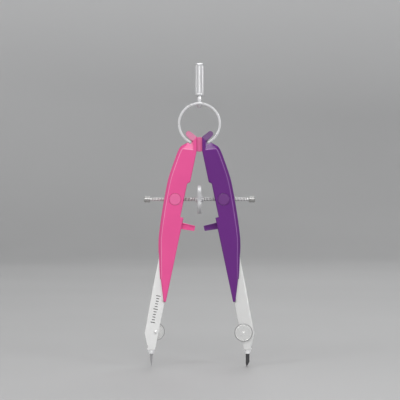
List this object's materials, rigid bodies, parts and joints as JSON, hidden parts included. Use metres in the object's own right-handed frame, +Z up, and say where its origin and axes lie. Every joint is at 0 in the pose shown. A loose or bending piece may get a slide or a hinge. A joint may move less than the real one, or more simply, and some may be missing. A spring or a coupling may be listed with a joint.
{
  "type": "drawing compass",
  "caption": "Bow drawing compass with ring spring, centre wheel on a left and right hand threaded spindle, release levers, needle leg and lead leg",
  "frame": {"origin": "on the paper plane, midway between the needle tip and the lead tip, centred in depth", "axes": "+Z up through the handle, +X towards the lead leg, front face towards -Y"},
  "size_m": [0.06, 0.0154, 0.1637],
  "materials": {
    "pink_plastic": "moulded, satin gloss, bright pink",
    "purple_plastic": "moulded, satin gloss, deep purple",
    "satin_nickel": "satin nickel plate",
    "bright_chrome": "bright nickel or chrome plate",
    "tool_steel": "ground steel",
    "graphite": "dark grey graphite lead with a slight sheen"
  },
  "bodies": {
    "handle": {"handle_grip": "bright_chrome", "handle_stud": "satin_nickel", "bow_spring": "bright_chrome", "hinge_disc": "pink_plastic"},
    "left_leg": {"left_leg_front_shell": "pink_plastic", "left_leg_back_shell": "pink_plastic", "left_leg_bar": "satin_nickel", "left_bar_pin": "tool_steel", "left_lever_pin": "tool_steel", "left_lever_spring": "tool_steel", "left_upper_shell_screw": "tool_steel", "left_lower_shell_screw": "tool_steel", "needle_collar": "bright_chrome"},
    "right_leg": {"right_leg_front_shell": "purple_plastic", "right_leg_back_shell": "purple_plastic", "right_leg_bar": "satin_nickel", "right_bar_pin": "tool_steel", "right_lever_pin": "tool_steel", "right_lever_spring": "tool_steel", "right_upper_shell_screw": "tool_steel", "right_lower_shell_screw": "tool_steel", "lead_collar": "bright_chrome"},
    "left_trunnion": {"left_trunnion": "pink_plastic"},
    "right_trunnion": {"right_trunnion": "purple_plastic"},
    "left_half_nut": {"left_half_nut": "tool_steel"},
    "right_half_nut": {"right_half_nut": "tool_steel"},
    "spindle_carriage": {"left_end_cap": "satin_nickel"},
    "spindle": {"threaded_spindle": "satin_nickel", "adjusting_wheel": "bright_chrome", "right_end_cap": "satin_nickel"},
    "left_release_lever": {"left_release_lever": "pink_plastic"},
    "right_release_lever": {"right_release_lever": "purple_plastic"},
    "left_clamp_screw": {"left_clamp_screw": "satin_nickel"},
    "right_clamp_screw": {"right_clamp_screw": "satin_nickel"},
    "needle": {"needle": "tool_steel"},
    "lead": {"lead": "graphite"}
  },
  "joints": [
    {"name": "left_leg_swing", "type": "hinge", "parent": "handle", "child": "left_leg", "pos_m": [0, 0, 0.12], "axis": [0, 1, 0], "range_deg": [-11.8, 11], "deforming": ["bow_spring"]},
    {"name": "right_leg_swing", "type": "hinge", "parent": "handle", "child": "right_leg", "pos_m": [0, 0, 0.12], "axis": [0, -1, 0], "range_deg": [-11.8, 11], "deforming": ["bow_spring"]},
    {"name": "left_trunnion_turn", "type": "hinge", "parent": "left_leg", "child": "left_trunnion", "pos_m": [-0.01307, 0, 0.09035], "axis": [0, 1, 0], "range_deg": [-11.1, 11.9]},
    {"name": "right_trunnion_turn", "type": "hinge", "parent": "right_leg", "child": "right_trunnion", "pos_m": [0.01307, 0, 0.09035], "axis": [0, -1, 0], "range_deg": [-11.1, 11.9]},
    {"name": "spindle_slide", "type": "slide", "parent": "left_trunnion", "child": "spindle_carriage", "axis": [1, 0, 0], "range_m": [-0.0062, 0.0058]},
    {"name": "wheel_turn", "type": "hinge", "parent": "spindle_carriage", "child": "spindle", "pos_m": [0, 0, 0.09035], "axis": [1, 0, 0], "range_deg": [-2773, 2586]},
    {"name": "left_lever_press", "type": "hinge", "parent": "left_leg", "child": "left_release_lever", "pos_m": [-0.01786, 0, 0.07675], "axis": [0, 1, 0], "range_deg": [0, 8], "stiffness_Nm_per_rad": 0.15},
    {"name": "left_half_nut_slide", "type": "slide", "parent": "left_trunnion", "child": "left_half_nut", "axis": [0, 0, -1], "range_m": [0, 0.00115]},
    {"name": "left_clamp_turn", "type": "hinge", "parent": "left_leg", "child": "left_clamp_screw", "pos_m": [-0.02371, 0, 0.01871], "axis": [0, 1, 0], "range_deg": [0, 720]},
    {"name": "right_lever_press", "type": "hinge", "parent": "right_leg", "child": "right_release_lever", "pos_m": [0.01786, 0, 0.07675], "axis": [0, -1, 0], "range_deg": [0, 8], "stiffness_Nm_per_rad": 0.15},
    {"name": "right_half_nut_slide", "type": "slide", "parent": "right_trunnion", "child": "right_half_nut", "axis": [0, 0, -1], "range_m": [0, 0.00115]},
    {"name": "right_clamp_turn", "type": "hinge", "parent": "right_leg", "child": "right_clamp_screw", "pos_m": [0.02371, 0, 0.01871], "axis": [0, -1, 0], "range_deg": [0, 720]},
    {"name": "needle_slide", "type": "slide", "parent": "left_leg", "child": "needle", "axis": [0, 0, -1], "range_m": [-0.002, 0.004]},
    {"name": "lead_slide", "type": "slide", "parent": "right_leg", "child": "lead", "axis": [0, 0, -1], "range_m": [-0.002, 0.008]}
  ],
  "couplings": [
    {"joint": "right_leg_swing", "follows": "left_leg_swing", "ratio": 1},
    {"joint": "left_trunnion_turn", "follows": "left_leg_swing", "ratio": -1},
    {"joint": "right_trunnion_turn", "follows": "left_leg_swing", "ratio": -1},
    {"joint": "spindle_slide", "follows": "left_leg_swing", "m_per_rad": 0.0297},
    {"joint": "wheel_turn", "follows": "left_leg_swing", "ratio": 233.26},
    {"joint": "left_half_nut_slide", "follows": "left_lever_press", "m_per_rad": 0.007878},
    {"joint": "right_half_nut_slide", "follows": "right_lever_press", "m_per_rad": 0.007878}
  ]
}
